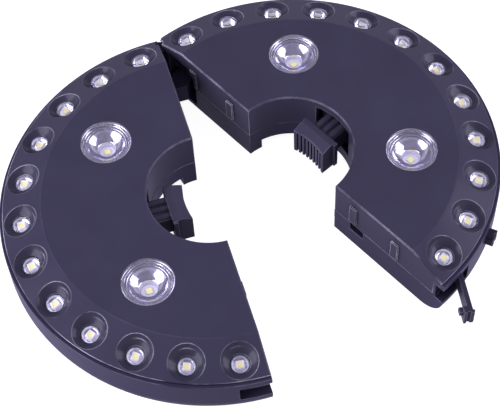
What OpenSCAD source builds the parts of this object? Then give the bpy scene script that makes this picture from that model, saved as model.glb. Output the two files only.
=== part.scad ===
// Patio umbrella light: two half discs, hinged together, that close round a pole and light the table below.
// Sizes are millimetres. The origin is the left half's pole axis, on the plane that the back rests on.
// +Y runs to the hinge and +Z out of the lit face. The left half lies at -X; the right half is swung open.

/* [Disc] */
// Outer radius of the back housings
disc_r = 110; // [107:0.5:114]
// Thickness from the back to the flat lit face
thickness = 39; // [38:0.5:42]
// Radius of the pole opening
notch_r = 33; // [31:0.5:34]
// Wall of the moulded shells
wall = 2.2; // [1.8:0.1:2.4]
// Half of the gap left between the halves when they are closed
cut_gap = 0.25; // [0.2:0.05:0.35]
// Angle by which the right half is swung open as shown
opening = 26.15; // [0:0.05:60]

/* [Front cover] */
// Width of the sloping band that carries the ring of small lights
bevel_w = 20.8; // [20:0.1:22]
// Drop of the sloping band from the flat face to its edge
bevel_drop = 7.5; // [6.5:0.1:8]
// How far the housing rim stands out past the edge of the cover
rim_step = 1.7; // [1.3:0.1:2]
// Height of the dark groove between the cover and the housing rim
seam_gap = 0.8; // [0.5:0.1:1]
// Small chamfer along the edges of the flat face
edge_chamfer = 0.5; // [0.3:0.1:0.7]
// Height at which the cover meets the housing on the straight walls and round the pole
part_z = 17; // [16:0.5:18]

/* [Back housing] */
// Radius of the rounded edge between the rim and the back
back_round = 14.5; // [13:0.5:14.5]
// Step by which the housing stands proud of the cover round the pole
part_step = 0.1; // [0.1:0.05:0.4]
// Depth of the relief in the back round the pole
relief_depth = 6.8; // [5:0.2:7.5]
// Width of that relief
relief_w = 8; // [5:0.5:9]
// Angle that the solid corner posts take at each end of the relief
post_angle = 14; // [10:1:18]

/* [Small lights] */
// Small lights on each half
leds_per_half = 12; // [10:1:12]
// Radius of the dished cup round each small light
cup_r = 9.3; // [9.2:0.1:9.4]
// Depth of the cup at the rim of the lens
cup_depth = 3.2; // [3.2:0.1:3.3]
// Angle by which the small lights lean out from straight up
lean = 12.5; // [12:0.5:14]
// Radius of the small clear lens
lens_r = 4.8; // [4.4:0.1:5]
// Height of the small lens dome above the floor of the cup
lens_dome = 1.8; // [1.2:0.1:2]
// Side of the square light emitter
chip_w = 3.5; // [3:0.1:3.6]

/* [Large lamps] */
// Distance of the large lamps outward from the middle of the flat face
lamp_shift = 1.65; // [0.5:0.05:3]
// Angle of each large lamp from the middle of its half
lamp_angle = 45; // [43:1:48]
// Radius of the clear front of a large lamp
lamp_r = 13.2; // [12.5:0.1:13.6]
// Radius of the mouth of the bright bowl
bowl_r = 9.9; // [9.4:0.1:10.4]
// Depth of the bowl below the lit face to the lamp board
lamp_depth = 11.6; // [11:0.1:12]

/* [Jaws] */
// Distance from the pole axis to the gripping face of a jaw at rest
jaw_reach = 12.6; // [11:0.2:14]
// Travel of a jaw as a thick pole pushes it back
jaw_travel = 12; // [8:0.5:12]
// Width of the ribbed face
jaw_w = 22; // [20:0.5:22.5]
// Height of the jaw
jaw_h = 19.5; // [18:0.5:19.5]
// Length of the jaw from its face to its back
jaw_d = 10.2; // [9:0.2:11]
// Gripping ribs across the face
jaw_ribs = 9; // [7:1:11]
// Width of the stem that carries the jaw
stem_w = 14.2; // [13:0.2:15]

/* [Hinge] */
// Distance of the hinge axis inside the rim
hinge_inset = 3.3; // [3:0.1:3.6]
// Radius of the hinge knuckles
knuckle_r = 3.7; // [3.4:0.1:4]
// Radius of the hinge pin
pin_r = 1.5; // [1.2:0.1:1.8]

/* [Latch] */
// Distance along the rim from the joint between the halves to the latch pivot
latch_x = 15.9; // [15:0.1:17]
// Length of the latch arm from its pivot to its tip
latch_len = 26; // [25.5:0.1:26.5]
// Height of the latch arm
latch_h = 10.4; // [9.5:0.1:10.8]
// Thickness of the latch arm
latch_t = 2.6; // [2.2:0.1:2.8]
// Angle of the open latch arm as shown
latch_open = 57; // [0:1:75]

/* [Button] */
// Direction of the power button from the middle of the right half
button_angle = -67.4; // [-69:0.1:-66]
// Width of the power button along the rim
button_w = 7; // [6:0.2:8]
// Height of the power button
button_h = 7.2; // [6:0.2:7.4]
// How far the power button stands out of the rim
button_out = 4.2; // [3:0.2:5]
// Travel of the power button
button_travel = 1.2; // [0.8:0.1:1.4]

/* [Batteries] */
// Radius of a battery cell
cell_r = 7.1; // [6.9:0.1:7.15]
// Length of a battery cell with its terminal
cell_len = 50.2; // [49.5:0.1:50.5]
// Width of the battery door
door_w = 60; // [59:0.5:62]

/* [Hidden] */
$fn = 64;

// One overrun for every cut that has to run past a face
over = 1;
// Clearance between parts that slide in each other
slide_gap = 0.3;
// Clearance round a pin that turns in its bore
pin_gap = 0.03;
// Clearance between pieces that are only put together
fit_gap = 0.2;

// Cover: radii of its edge, its flat face, and the plug that drops inside the housing
cover_r = disc_r - rim_step;
flat_r = cover_r - bevel_w;
tilt = atan2(bevel_drop, bevel_w);
edge_z = thickness - bevel_drop;
edge_band = 0.6;
seam_z = edge_z - edge_band;
rim_z = seam_z - seam_gap;
plug_gap = 0.4;
plug_r = disc_r - wall - plug_gap;
plug_t = 1.5;
plug_h = 3;
plate_z = thickness - wall;

// Inner face of the straight walls and of the wall round the pole
straight_in = cut_gap + wall;
notch_in = notch_r + wall;
round_x = disc_r - back_round;

// Small lights: where their axes cross the sloping band, and depths measured along those axes
cup_margin = 0.8;
cup_floor_r = lens_r + 0.125 * lens_r;
cup_rise = (cup_r * cup_r - cup_floor_r * cup_floor_r - cup_depth * cup_depth) / (2 * cup_depth);
cup_ball_r = sqrt(cup_r * cup_r + cup_rise * cup_rise);
cup_shift = cup_rise * sin(tilt - lean);
led_r = cover_r - cup_margin - (cup_r - cup_shift) * cos(tilt);
led_z = thickness - bevel_drop * (led_r - flat_r) / bevel_w;
led_pitch = 180 / leds_per_half;
lens_gap = 0.3;
boss_wall = 0.9;
led_boss_r = cup_r - boss_wall;
led_boss_depth = 4.8;
lens_flange_r = 5.4;
lens_flange_t = 1;
lens_skin = 0.4;
board_depth = led_boss_depth + lens_flange_t;
chip_h = 1.5;
chip_glow_w = 2.2;
chip_glow_h = 0.15;
ring_board_w = 8.8;
ring_board_t = 1.2;
small_bowl_r = 3.9;
small_bowl_floor_r = 2.6;

// Large lamps
lamp_fit = 0.15;
lamp_ring_r = (notch_in + flat_r) / 2 + lamp_shift;
lamp_flange_r = 14.6;
lamp_flange_t = 1.2;
lamp_body_r = 12.6;
lamp_step_shares = [0.955, 0.865];
lamp_step_h = 0.7;
lamp_lens_step = 0.4;
lamp_hole_r = 4.8;
lamp_seat_r = 4.5;
lamp_seat_h = 0.9;
lamp_chip_w = 3.6;
lamp_chip_h = 0.7;
board_z = thickness - lamp_depth;
board_t = 1.6;
board_gap = 1.5;
bowl_rim_z = plate_z - 2 * lamp_step_h;
bowl_floor_h = 2.2;
bowl_floor_z = board_z + bowl_floor_h;
bowl_mid_z = (bowl_r * bowl_r - lamp_hole_r * lamp_hole_r + bowl_rim_z * bowl_rim_z
    - bowl_floor_z * bowl_floor_z) / (2 * (bowl_rim_z - bowl_floor_z));
bowl_ball_r = sqrt(bowl_r * bowl_r + (bowl_rim_z - bowl_mid_z) * (bowl_rim_z - bowl_mid_z));

// Jaws: the head, the stem behind it, the slot that it retreats into and the channel that guides it
jaw_sunk = 5;
jaw_top = thickness - jaw_sunk;
jaw_bottom = jaw_top - jaw_h;
jaw_back_x = jaw_reach + jaw_d;
jaw_hollow_r = 40;
jaw_hollow = 1.4;
jaw_ledge_x = 5.7;
jaw_ledge_drop = 2.4;
jaw_ledge_h = 3.4;
jaw_ridge_w = 0.6;
jaw_rib_depth = 1.3;
jaw_back_t = 2.4;
jaw_back_out = 1;
jaw_back_drop = 1.2;
slot_side_gap = 0.5;
slot_half = jaw_w / 2 + jaw_back_out + slot_side_gap;
slot_top = jaw_top + slide_gap;
slot_bottom = jaw_bottom - slide_gap;
stem_bottom = 18.6;
stem_core_top = 30.4;
stem_ridge_r = 2.3;
stem_top = 32;
stem_len = 25.2;
stem_end_x = jaw_back_x + stem_len;
stem_lug_out = 1.5;
stem_lug_len = 2.6;
stem_lug_h = 4;
stem_bore_r = 4.9;
stem_bore_x = jaw_back_x + 7.4;
stem_mid_z = (stem_bottom + stem_core_top) / 2;
channel_wall = 2.9;
channel_set = 0.9;
channel_front = notch_in + channel_set;
channel_front_t = 1.4;
channel_floor_t = 1.2;
channel_room = 1;
channel_end = stem_end_x + jaw_travel + channel_room;
channel_end_t = 1.5;
jaw_spring_r = 4.15;
jaw_wire_r = 0.45;
jaw_spring_turns = 8;

// Hinge: the axis, the heights where each half's knuckles lie, and the tongue that bridges the gap
hinge_y = disc_r - hinge_inset;
knuckle_low = 8.2;
knuckle_high = 21.4;
knuckle_gap = 0.4;
knuckle_bottom = 0.6;
knuckle_top = 28.6;
hinge_clear_r = 5.2;
hinge_skin_r = 2.4;
hinge_block_x = 6.6;
hinge_block_y = 7.7;
pin_head_r = 2.4;
pin_head_h = 0.8;
pin_top = 26;
tongue_lift = 0.4;
tongue_h = 4.2;
tongue_bottom = wall + tongue_lift;
tongue_top = tongue_bottom + tongue_h;
tongue_high = 15;
tongue_clear_r = 10.7;
tongue_r = 12.4;
tongue_mid_x = 1.6;
tongue_back = 11.6;
tongue_start = 1.6;
tongue_end = 21;
pocket_sweep_r = 24.8;
pocket_far = 29.4;
pocket_deep = 4.4;
pocket_drop = 0.7;
pocket_top = edge_z - pocket_drop;
pocket_round = 6;
pocket_wall = 1.4;
ring_board_end = max(cut_gap + pocket_deep + pocket_wall, hinge_block_x) + fit_gap;

// Snap tabs and the locating pad on the right half's straight wall, and the left's hollows for the tabs
pad_out = 0.9;
pad_fit = 0.5;
pad_hollow = 0.7;
tab_w = 4.8;
tab_drop = 6.4;
tab_h = 13.1;
tab_top = thickness - tab_drop;
tab_bottom = tab_top - tab_h;
tab_far = [-78.4, -48.9, 45.9, 75.3];
locator_y = -54;
locator_w = 21;
locator_slot_w = 9.4;
locator_slot_bottom = 11.4;
locator_lip = 1.2;
locator_tab_w = 8;
locator_tab_out = 3;
locator_tab_bottom = 12;
locator_tab_top = 16;
locator_slot_deep = 4.4;

// Nub on the pole wall beside the latch
nub_r = 1.1;
nub_h = 3;
nub_angle = -87;
nub_z = 19.5;

// Latch: its pocket in the rim, its pivot and its hook
latch_inset = 3.2;
latch_r = disc_r - latch_inset;
latch_y = -sqrt(latch_r * latch_r - latch_x * latch_x);
latch_pocket_deep = 5.4;
latch_pocket_r = disc_r - latch_pocket_deep;
latch_bottom = 15.6;
latch_clear = 0.6;
latch_roof = seam_z - plug_h - 2 * fit_gap;
latch_barrel_r = 2.4;
latch_barrel_gap = 0.3;
latch_pin_r = 1;
latch_pin_end = 4;
latch_floor = latch_bottom - latch_clear - latch_pin_end;
latch_pocket_x = 20.6;
latch_block_x = 22;
latch_block_in = 1.2;
hook_w = 4.2;
hook_reach = 3.3;
barb_w = 3;
barb_reach = 5.6;
barb_top_gap = 0.4;
barb_h = 3.4;
finger_out = 0.9;
finger_w = 1.8;
catch_x = 16.5;
catch_slot_x = 5;
catch_slot_w = 5.8;
catch_slot_deep = 3;
catch_rib_h = 1;
catch_rib_out = 1;
catch_rib_z = 20.6;

// Power button and its switch
button_z = 22.7;
button_flange = 1.2;
button_flange_t = 1.6;
button_groove = 0.8;
button_groove_deep = 1;
button_stem_r = 1.6;
button_stem_len = 3;
button_back_in = 2.3;
button_back_r = disc_r - wall - button_back_in;
button_round = 1.4;
switch_w = 6;
switch_room = 0.6;
switch_gap = button_travel + switch_room;
switch_len = 4.3;
switch_bore = 3;
switch_fit = 0.15;
switch_post_t = 2.5;

// Battery bay, door, cells and contacts
cell_gap = 1.2;
cell_pitch = 2 * cell_r + cell_gap;
bay_inset = 3.5;
bay_side = 2.1;
bay_end = round_x - bay_inset;
bay_start = bay_end - cell_pitch - 2 * cell_r - 2 * bay_side;
bay_wall = 2.7;
bay_roof_t = 1.2;
bay_roof_gap = 0.1;
bay_roof = stem_bottom - slide_gap - bay_roof_gap;
door_lap = 2;
door_start = bay_start - door_lap;
door_rim_z = 8.2;
door_tongue = 1.3;
door_tongue_t = 1;
door_tongue_z = 0.8;
door_grip_w = 1.2;
door_grip_deep = 0.5;
door_grip_count = 5;
door_grip_pitch = 2.6;
door_grip_x = 84;
door_grip_len = 26;
cell_z = wall + fit_gap + cell_r;
cell_terminal_r = 2.6;
cell_terminal_h = 1.2;
contact_w = 11;
contact_t = 0.5;
contact_dimple_r = 2.2;
contact_dimple = 1.2;
contact_wire_r = 0.4;
contact_spring_r = 4.4;
contact_spring_top_r = 2.8;
contact_turns = 4;
contact_room = 8.2;
bay_half = cell_len / 2 + contact_t + (contact_dimple + contact_room) / 2;
door_half = door_w / 2 + slide_gap;
frame_half = max(bay_half, door_half) + bay_wall;

// Screws and the columns that they draw together
screw_places = [[38, 19.5], [38, -19.5], [8.6, 62], [8.6, -62], [46, 71], [46, -71]];
screw_join_z = 12;
screw_column_r = 3.6;
screw_boss_r = 3.4;
screw_sink_r = 3.1;
screw_sink = 3.4;
screw_head_r = 2.8;
screw_head_h = 2;
screw_r = 1.45;
screw_len = 16;
screw_hole_r = 1.65;
screw_pilot_r = 1.5;
screw_cross_w = 0.7;
screw_cross = 3.2;
screw_cross_deep = 1;

plastic = [0.22, 0.21, 0.29];
dark_plastic = [0.12, 0.11, 0.16];
clear_plastic = [0.85, 0.87, 0.95];
bright_metal = [0.8, 0.8, 0.84];
steel = [0.6, 0.6, 0.63];
board_green = [0.12, 0.3, 0.2];
emitter_yellow = [0.95, 0.88, 0.5];
cell_jacket = [0.2, 0.22, 0.26];

// Puts a half, drawn at +X as if closed, in its place
module place_half(side) {
    if (side == "left") {
        mirror([1, 0, 0]) children();
    } else {
        translate([0, hinge_y, 0]) rotate([0, 0, opening]) translate([0, -hinge_y, 0]) children();
    }
}

// Everything beyond a straight plane that stands a given distance from the joint between the halves
module beyond(x) {
    translate([x, -2 * disc_r, -thickness]) cube([2 * disc_r, 4 * disc_r, 3 * thickness]);
}

// A block from one corner to the opposite one
module block(low, high) {
    translate(low) cube(high - low);
}

// A cylinder between two heights
module post(r, low, high) {
    translate([0, 0, low]) cylinder(r = r, h = high - low);
}

// A wedge of the given half angle about +X, out past the rim
module wedge(half_angle, low, high) {
    far = 3 * disc_r;
    translate([0, 0, low]) linear_extrude(high - low)
        polygon([[0, 0], [far * cos(half_angle), -far * sin(half_angle)], [far, 0],
            [far * cos(half_angle), far * sin(half_angle)]]);
}

// Places children at each small light, +Z out of the light, origin on the sloping face
module at_small_lights() {
    for (i = [0 : leds_per_half - 1])
        rotate([0, 0, (i + 0.5) * led_pitch - 90]) translate([led_r, 0, led_z]) rotate([0, lean, 0])
            children();
}

// Places children at both large lamps of a half
module at_lamps() {
    for (turn = [-1, 1])
        rotate([0, 0, turn * lamp_angle]) translate([lamp_ring_r, 0, 0]) children();
}

// Places children at each screw of a half
module at_screws() {
    for (place = screw_places)
        translate([place[0], place[1], 0]) children();
}

// Places children on the hinge axis
module at_hinge() {
    translate([0, hinge_y, 0]) children();
}

// Outer form of the cover, solid
module cover_form() {
    rotate_extrude()
        polygon([[notch_r, part_z], [plug_r, part_z], [plug_r, seam_z], [cover_r, seam_z],
            [cover_r, edge_z], [flat_r, thickness], [notch_r, thickness]]);
}

// Skin of the cover: flat face, sloping band, edge and the plug that fits inside the housing
module cover_skin() {
    plug_in = plug_r - plug_t;
    slope_in = flat_r - wall * tan(tilt / 2);
    plug_root = plate_z - (plug_in - slope_in) * tan(tilt);
    rotate_extrude()
        polygon([[notch_r, thickness], [flat_r, thickness], [cover_r, edge_z], [cover_r, seam_z],
            [plug_r, seam_z], [plug_r, seam_z - plug_h], [plug_in, seam_z - plug_h],
            [plug_in, plug_root], [slope_in, plate_z], [notch_r, plate_z]]);
}

// Chamfer along the straight top edge of the cover, on the flat and down both slopes
module straight_chamfer() {
    side = edge_chamfer * sqrt(2);
    translate([cut_gap, 0, thickness]) rotate([0, 45, 0]) cube([side, 2 * flat_r, side], center = true);
    for (end = [-1, 1])
        translate([cut_gap, end * flat_r, thickness]) rotate([-end * tilt, 0, 0])
            translate([0, end * bevel_w / 2, 0]) rotate([0, 45, 0])
                cube([side, bevel_w + 2 * edge_chamfer, side], center = true);
}

// The dished cup and the lens hole of a small light, cut along its axis
module cup_cut() {
    translate([0, 0, cup_rise]) sphere(r = cup_ball_r);
    post(lens_r + lens_gap, -led_boss_depth - over, 0);
}

// A front cover with everything that both halves share
module cover_blank() {
    difference() {
        union() {
            intersection() {
                union() {
                    cover_skin();
                    intersection() {
                        cover_form();
                        union() {
                            block([cut_gap, -disc_r, part_z], [straight_in, disc_r, thickness]);
                            post(notch_in, part_z, thickness);
                        }
                    }
                }
                beyond(cut_gap);
            }
            intersection() {
                at_small_lights() post(led_boss_r, -led_boss_depth, -over);
                post(plug_r - plug_t / 2, part_z, thickness);
                beyond(cut_gap);
            }
            at_screws() post(screw_boss_r, screw_join_z, plate_z + wall / 2);
            for (side = [-1, 1])
                block([channel_front + channel_front_t, side * stem_w / 4 - wall / 2, stem_top + slide_gap],
                    [channel_end - channel_end_t, side * stem_w / 4 + wall / 2, plate_z + wall / 2]);
        }
        at_small_lights() cup_cut();
        at_lamps() post(lamp_r + lamp_fit, plate_z - over, thickness + over);
        at_screws() post(screw_pilot_r, screw_join_z - over, screw_sink + screw_len);
        block([0, -slot_half, part_z - over], [notch_in + over, slot_half, slot_top]);
        translate([0, 0, thickness - edge_chamfer])
            cylinder(r1 = notch_r, r2 = notch_r + 2 * edge_chamfer, h = 2 * edge_chamfer);
        straight_chamfer();
        at_hinge() post(hinge_skin_r, 0, thickness + over);
        block([-over, hinge_y - hinge_block_y - fit_gap, 0], [hinge_block_x + fit_gap, disc_r, seam_z]);
        rim_pocket(-over, latch_block_x + fit_gap, latch_pocket_r - latch_block_in - fit_gap, 0,
            latch_roof + fit_gap);
    }
}

// Outline of a housing in section, from the pole to the rim, drawn inward by a wall thickness
module housing_section(inset, top) {
    in_r = notch_r - part_step + inset;
    union() {
        translate([in_r, inset]) square([round_x - in_r, top - inset]);
        translate([in_r, back_round]) square([disc_r - inset - in_r, top - back_round]);
        intersection() {
            translate([round_x, back_round]) circle(r = back_round - inset);
            translate([round_x - over, 0]) square([back_round + over, back_round + over]);
        }
    }
}

// Outer form of a housing, solid
module housing_form() {
    rotate_extrude() housing_section(0, rim_z);
}

// The space inside a housing
module housing_room() {
    intersection() {
        rotate_extrude() housing_section(wall, thickness);
        beyond(straight_in);
    }
}

// Relief in the back round the pole, between the corner posts
module relief(r, low, high) {
    intersection() {
        post(r, low, high);
        wedge(90 - post_angle, low, high);
    }
}

// The channel that guides a jaw stem, before its inside is cut
module channel_form() {
    half = stem_w / 2 + slide_gap + channel_wall;
    block([channel_front, -slot_half - over, stem_bottom - slide_gap - channel_floor_t - 4 * channel_floor_t],
        [channel_front + channel_front_t, slot_half + over, slot_top]);
    block([channel_front, -half, stem_bottom - slide_gap - channel_floor_t],
        [channel_end + channel_end_t, half, stem_top + slide_gap]);
    block([channel_front, -half, wall / 2], [channel_front + channel_end_t, half, stem_bottom]);
}

// The inside of that channel, with the grooves that stop the stem lugs
module channel_cut() {
    half = stem_w / 2 + slide_gap;
    block([channel_front - over, -half, stem_bottom - slide_gap],
        [channel_end, half, stem_top + slide_gap + over]);
    lug_half = stem_w / 2 + stem_lug_out + slide_gap;
    block([stem_end_x - stem_lug_len - slide_gap, -lug_half, stem_mid_z - stem_lug_h / 2 - slide_gap],
        [channel_end, lug_half, stem_top + slide_gap + over]);
}

// Where the door lies in the back: a band across the bay that runs out through the rim
module door_zone(half_width, start, top) {
    block([start, -half_width, -over], [disc_r + over, half_width, top]);
}

// A back housing with everything that both halves share
module housing_blank() {
    difference() {
        union() {
            difference() {
                intersection() {
                    housing_form();
                    beyond(cut_gap);
                }
                housing_room();
                intersection() {
                    post(disc_r - wall, part_z, thickness);
                    block([-over, -disc_r, part_z], [straight_in + over, disc_r, thickness]);
                }
                post(notch_in + wall, part_z, thickness);
            }
            intersection() {
                housing_form();
                beyond(cut_gap);
                union() {
                    relief(notch_r + relief_w + wall, 0, relief_depth + wall);
                    channel_form();
                    block([door_start - wall, -frame_half, 0], [bay_end + bay_roof_t, frame_half, bay_roof]);
                    at_screws() post(screw_column_r, 0, screw_join_z);
                }
            }
            at_hinge_block() housing_form();
        }
        relief(notch_r + relief_w, -over, relief_depth);
        channel_cut();
        block([0, -slot_half, slot_bottom], [notch_in + fit_gap, slot_half, thickness]);
        block([bay_start, -bay_half, wall], [bay_end, bay_half, bay_roof - bay_roof_t]);
        door_zone(door_half, door_start, wall + fit_gap);
        intersection() {
            door_zone(door_half, bay_end, door_rim_z + fit_gap);
            difference() {
                beyond(cut_gap);
                housing_room();
            }
        }
        block([door_start, -door_half - door_tongue, door_tongue_z - fit_gap / 2],
            [disc_r + over, door_half + door_tongue, door_tongue_z + door_tongue_t + fit_gap / 2]);
        at_screws() post(screw_sink_r, -over, screw_sink);
        at_screws() post(screw_hole_r, 0, screw_join_z + over);
    }
}

// The solid corner that carries the knuckles
module at_hinge_block() {
    intersection() {
        children();
        block([cut_gap, hinge_y - hinge_block_y, 0], [hinge_block_x, disc_r, rim_z]);
    }
}

// A knuckle between two heights, joined to the corner behind it
module knuckle(low, high) {
    at_hinge() post(knuckle_r, low, high);
    intersection() {
        at_hinge() post(hinge_clear_r, low, high);
        block([0, hinge_y - hinge_clear_r, low], [hinge_clear_r, hinge_y, high]);
    }
}

// Room for the other half's knuckle between two heights
module knuckle_room(low, high) {
    at_hinge() post(hinge_clear_r, low, high);
}

// Pockets for the latch pieces in the rim, between two distances from the joint
module rim_pocket(near, far, r, low, high) {
    difference() {
        block([near, -disc_r - over, low], [far, -disc_r / 2, high]);
        post(r, low - over, high + over);
    }
}

// Solid backing behind a rim pocket, out to a distance from the joint
module rim_backing(far) {
    intersection() {
        housing_form();
        difference() {
            block([cut_gap, -disc_r, back_round], [far, -disc_r / 2, latch_roof]);
            post(latch_pocket_r - latch_block_in, 0, thickness);
        }
    }
}

module left_front_cover() color(plastic) place_half("left") {
    difference() {
        cover_blank();
        for (far = tab_far)
            block([0, far - pad_fit, tab_bottom - pad_fit],
                [cut_gap + pad_hollow, far + tab_w + pad_fit, tab_top + pad_fit]);
    }
}

module right_front_cover() color(plastic) place_half("right") {
    difference() {
        union() {
            cover_blank();
            for (far = tab_far)
                block([cut_gap - pad_out, far, tab_bottom], [straight_in, far + tab_w, tab_top]);
            pocket_walls(part_z, pocket_top + pocket_wall);
            rotate([0, 0, nub_angle]) translate([notch_r + nub_r / 3, 0, 0])
                post(nub_r, nub_z, nub_z + nub_h);
        }
        hinge_pocket();
    }
}

// The open pocket beside the hinge, in the straight wall of the right half
module hinge_pocket() {
    low_y = hinge_y - pocket_far;
    high_y = hinge_y - hinge_block_y;
    translate([-over, 0, 0]) rotate([90, 0, 90]) linear_extrude(pocket_deep + cut_gap + over) {
        translate([low_y, wall]) square([high_y - low_y, pocket_top - pocket_round - wall]);
        translate([low_y + pocket_round, wall]) square([high_y - low_y - pocket_round, pocket_top - wall]);
        translate([low_y + pocket_round, pocket_top - pocket_round]) circle(r = pocket_round);
    }
}

// Material round the hinge pocket between two heights, so that it has a back and an end of its own
module pocket_walls(low, high) {
    block([straight_in - wall / 2, hinge_y - pocket_far - pocket_wall, low],
        [cut_gap + pocket_deep + pocket_wall, hinge_y - hinge_block_y - fit_gap, high]);
}

// The rounded tongue that bridges the gap beside the hinge: low at the knuckles, high away from them
module tongue_form() {
    difference() {
        intersection() {
            translate([-tongue_mid_x, hinge_y - tongue_back, 0]) post(tongue_r, tongue_bottom, tongue_high);
            block([-2 * tongue_r, hinge_y - tongue_end, 0], [straight_in, hinge_y - tongue_start, thickness]);
        }
        at_hinge() post(tongue_clear_r, tongue_top, thickness);
    }
}

// The space in the right half that the tongue turns through, drawn larger by a margin
module tongue_room(margin) {
    at_hinge() difference() {
        post(pocket_sweep_r + margin, wall - margin, tongue_high + fit_gap + margin);
        post(tongue_clear_r - fit_gap - margin, tongue_top + fit_gap + margin, thickness);
    }
}

module left_back_housing() color(plastic) place_half("left") {
    difference() {
        union() {
            housing_blank();
            knuckle(knuckle_bottom, knuckle_low);
            knuckle(knuckle_high, knuckle_top);
            tongue_form();
            rim_backing(catch_x + latch_block_in);
        }
        knuckle_room(knuckle_low, knuckle_high);
        knuckle_room(-over, knuckle_bottom);
        at_hinge() post(pin_r + pin_gap, -over, pin_top);
        at_hinge() post(pin_head_r + pin_gap, -over, knuckle_bottom + pin_head_h);
        left_catch();
    }
    tab_y = locator_y + (locator_slot_w - locator_tab_w) / 2;
    block([-locator_tab_out, tab_y, locator_tab_bottom],
        [straight_in, tab_y + locator_tab_w, locator_tab_top]);
}

// The recess and the slot that the latch hook drops into
module left_catch() {
    low = latch_bottom - latch_clear;
    high = latch_bottom + latch_h + latch_clear;
    difference() {
        rim_pocket(-over, catch_x, latch_pocket_r, low, high);
        for (span = [[-over, catch_slot_x], [catch_slot_x + catch_slot_w, catch_x + over]])
            intersection() {
                block([span[0], -disc_r, catch_rib_z], [span[1], 0, catch_rib_z + catch_rib_h]);
                post(latch_pocket_r + catch_rib_out, low, high);
            }
    }
    rim_pocket(catch_slot_x, catch_slot_x + catch_slot_w, latch_pocket_r - catch_slot_deep,
        latch_bottom + latch_h - barb_top_gap - barb_h - latch_clear, high - latch_clear / 2);
}

module right_back_housing() color(plastic) place_half("right") {
    difference() {
        union() {
            housing_blank();
            knuckle(knuckle_low + knuckle_gap, knuckle_high - knuckle_gap);
            intersection() {
                housing_form();
                pocket_walls(wall / 2, part_z);
            }
            intersection() {
                housing_form();
                beyond(cut_gap);
                tongue_room(pocket_wall);
            }
            rim_backing(latch_block_x);
            intersection() {
                housing_form();
                translate([latch_x, latch_y, 0])
                    post(latch_barrel_r + latch_barrel_gap + latch_block_in, latch_floor, latch_roof);
            }
            block([0, locator_y, locator_slot_bottom - locator_lip],
                [straight_in, locator_y + locator_w, part_z]);
            block([straight_in - over, locator_y - wall / 2, locator_slot_bottom - wall / 2],
                [straight_in + locator_slot_deep - wall / 2, locator_y + locator_slot_w + wall / 2, part_z]);
            intersection() {
                rotate([0, 0, button_angle])
                    block([switch_back_r() - switch_post_t, -switch_w / 2, wall / 2],
                        [switch_back_r(), switch_w / 2, button_z + switch_w / 4]);
                housing_form();
            }
        }
        knuckle_room(-over, knuckle_low + knuckle_gap);
        knuckle_room(knuckle_high - knuckle_gap, thickness);
        at_hinge() post(pin_r + pin_gap, -over, thickness);
        hinge_pocket();
        intersection() {
            tongue_room(0);
            block([-over, hinge_y - pocket_sweep_r - over, 0], [pocket_sweep_r + over, hinge_y, thickness]);
            post(disc_r - wall, 0, thickness);
        }
        rim_pocket(-over, latch_pocket_x, latch_pocket_r, latch_bottom - latch_clear,
            latch_bottom + latch_h + latch_clear);
        translate([latch_x, latch_y, 0]) {
            post(latch_barrel_r + latch_barrel_gap, latch_bottom - latch_clear,
                latch_bottom + latch_h + latch_clear);
            post(latch_pin_r, latch_floor + latch_block_in, thickness);
        }
        block([-2 * over, locator_y, locator_slot_bottom],
            [cut_gap + locator_slot_deep, locator_y + locator_slot_w, part_z + over]);
        rotate([0, 0, button_angle]) button_bar(disc_r - 2 * wall, disc_r + over, fit_gap);
    }
}

// Distance of the back of the switch from the pole axis
function switch_back_r() = button_back_r - switch_gap - switch_len;

// A battery door: a plate with side tongues whose outer end follows the rounded rim
module battery_door() color(plastic) {
    difference() {
        union() {
            intersection() {
                difference() {
                    housing_form();
                    rotate_extrude() housing_section(wall, thickness);
                }
                block([door_start + fit_gap, -door_w / 2, 0], [disc_r, door_w / 2, door_rim_z]);
            }
            block([door_start + fit_gap, -door_w / 2 - door_tongue + fit_gap, door_tongue_z],
                [bay_end, door_w / 2 + door_tongue - fit_gap, door_tongue_z + door_tongue_t]);
        }
        for (i = [0 : door_grip_count - 1])
            block([door_grip_x - i * door_grip_pitch, -door_grip_len / 2, -over],
                [door_grip_x - i * door_grip_pitch + door_grip_w, door_grip_len / 2, door_grip_deep]);
    }
}

module left_battery_door() place_half("left") battery_door();
module right_battery_door() place_half("right") battery_door();

// The clear fronts of the large lamps, stepped in rings
module lamp_lenses() color(clear_plastic) {
    at_lamps() difference() {
        post(lamp_r, plate_z, thickness);
        post(lamp_r * lamp_step_shares[1], thickness - lamp_lens_step, thickness + over);
    }
}

module left_lamp_lenses() place_half("left") lamp_lenses();
module right_lamp_lenses() place_half("right") lamp_lenses();

// The bright bowls of the large lamps, flanged under the cover and stepped at the mouth
module lamp_reflectors() color(bright_metal) {
    at_lamps() difference() {
        union() {
            post(lamp_flange_r, plate_z - lamp_flange_t, plate_z);
            post(lamp_body_r, board_z, plate_z);
        }
        for (i = [0 : 1])
            post(lamp_r * lamp_step_shares[i] - lamp_step_h, plate_z - (i + 1) * lamp_step_h, plate_z + over);
        intersection() {
            translate([0, 0, bowl_mid_z]) sphere(r = bowl_ball_r);
            post(lamp_body_r, bowl_floor_z - over, bowl_rim_z);
        }
        post(lamp_hole_r, board_z - over, bowl_rim_z);
    }
}

module left_lamp_reflectors() place_half("left") lamp_reflectors();
module right_lamp_reflectors() place_half("right") lamp_reflectors();

// The emitters of the large lamps: a round base with a square chip
module lamp_emitters() color(emitter_yellow) {
    at_lamps() {
        post(lamp_seat_r, board_z, board_z + lamp_seat_h);
        block([-lamp_chip_w / 2, -lamp_chip_w / 2, board_z + lamp_seat_h / 2],
            [lamp_chip_w / 2, lamp_chip_w / 2, board_z + lamp_seat_h + lamp_chip_h]);
    }
}

module left_lamp_emitters() place_half("left") lamp_emitters();
module right_lamp_emitters() place_half("right") lamp_emitters();

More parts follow.
